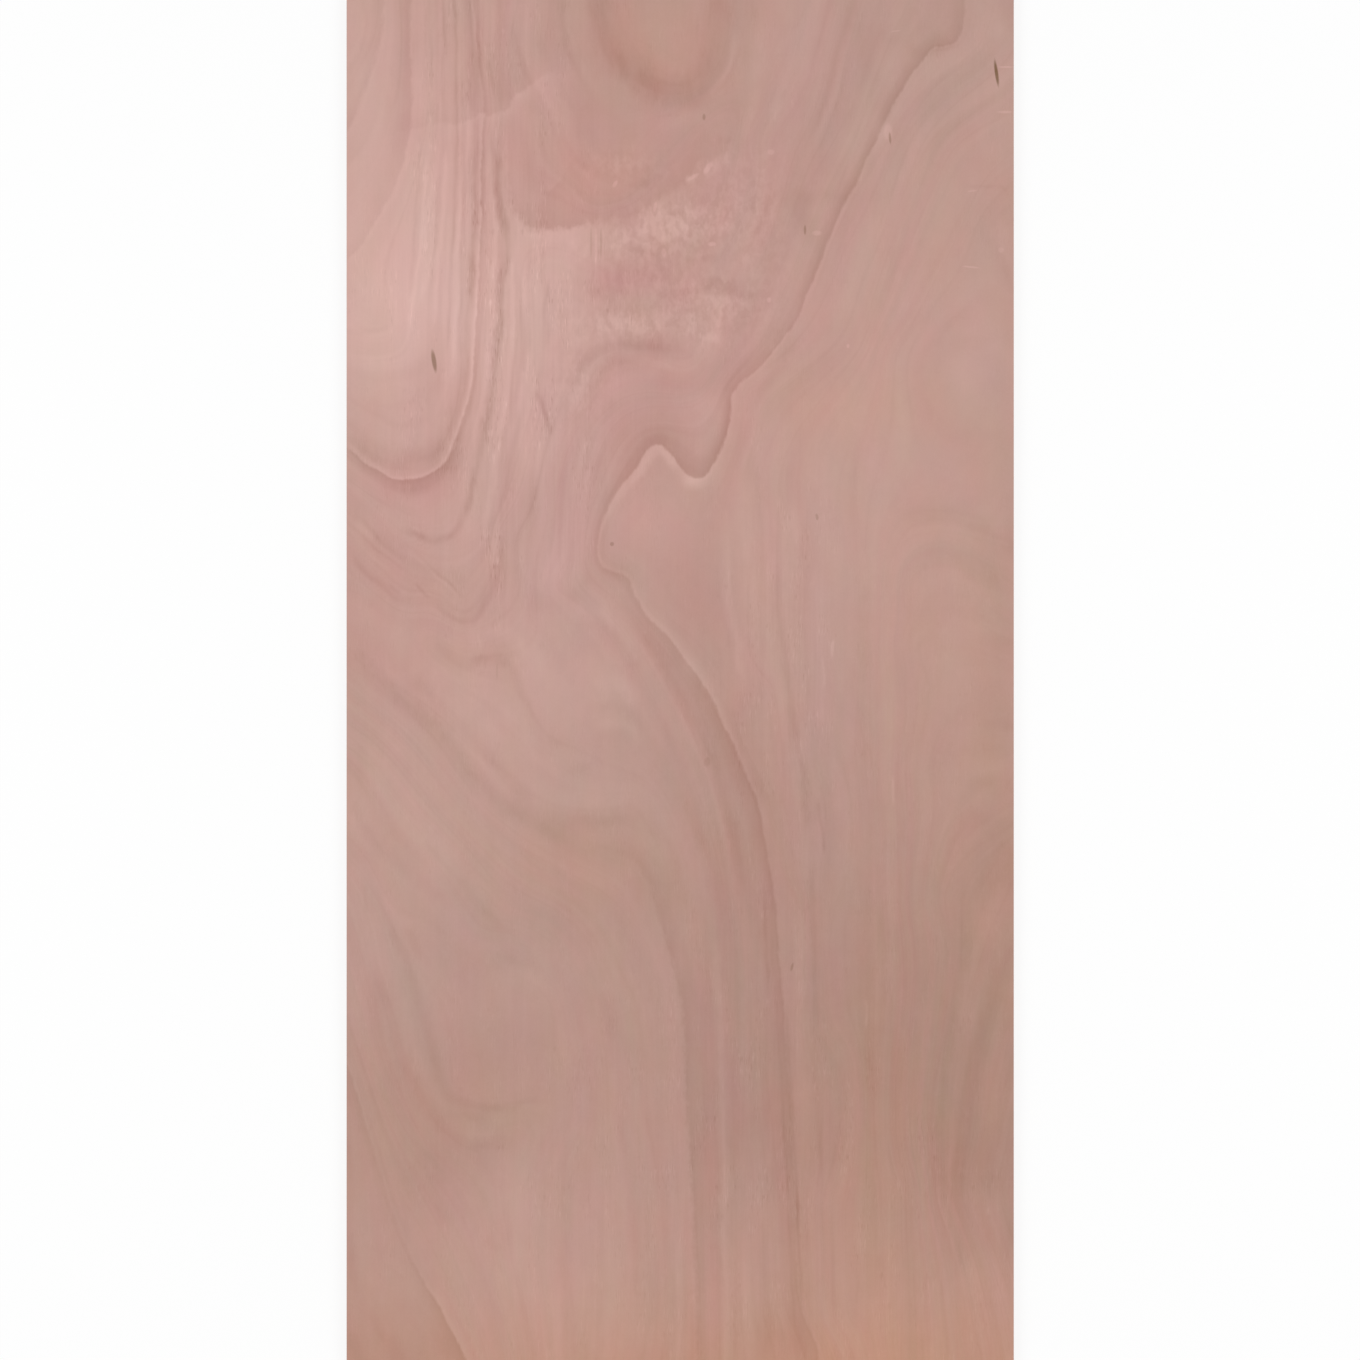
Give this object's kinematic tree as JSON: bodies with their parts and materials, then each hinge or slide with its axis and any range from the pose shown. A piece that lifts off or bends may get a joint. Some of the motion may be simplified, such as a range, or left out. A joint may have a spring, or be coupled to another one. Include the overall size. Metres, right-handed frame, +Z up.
{
  "type": "plywood sheet",
  "caption": "Flat rectangular plywood panel with a rotary-cut pinkish hardwood face veneer, square sawn edges and lightly broken arrises, used as sheet stock for building and joinery.",
  "frame": {"origin": "middle of the back face, on the surface that the sheet lies on", "axes": "+Z up through the thickness to the good face, +Y along the length and the face grain, +X across the width"},
  "size_m": [1.22, 2.5, 0.018],
  "materials": {
    "plywood": "bare sanded rotary-cut pinkish hardwood veneer, matt"
  },
  "bodies": {
    "root": {"plywood_sheet": "plywood"}
  },
  "joints": []
}
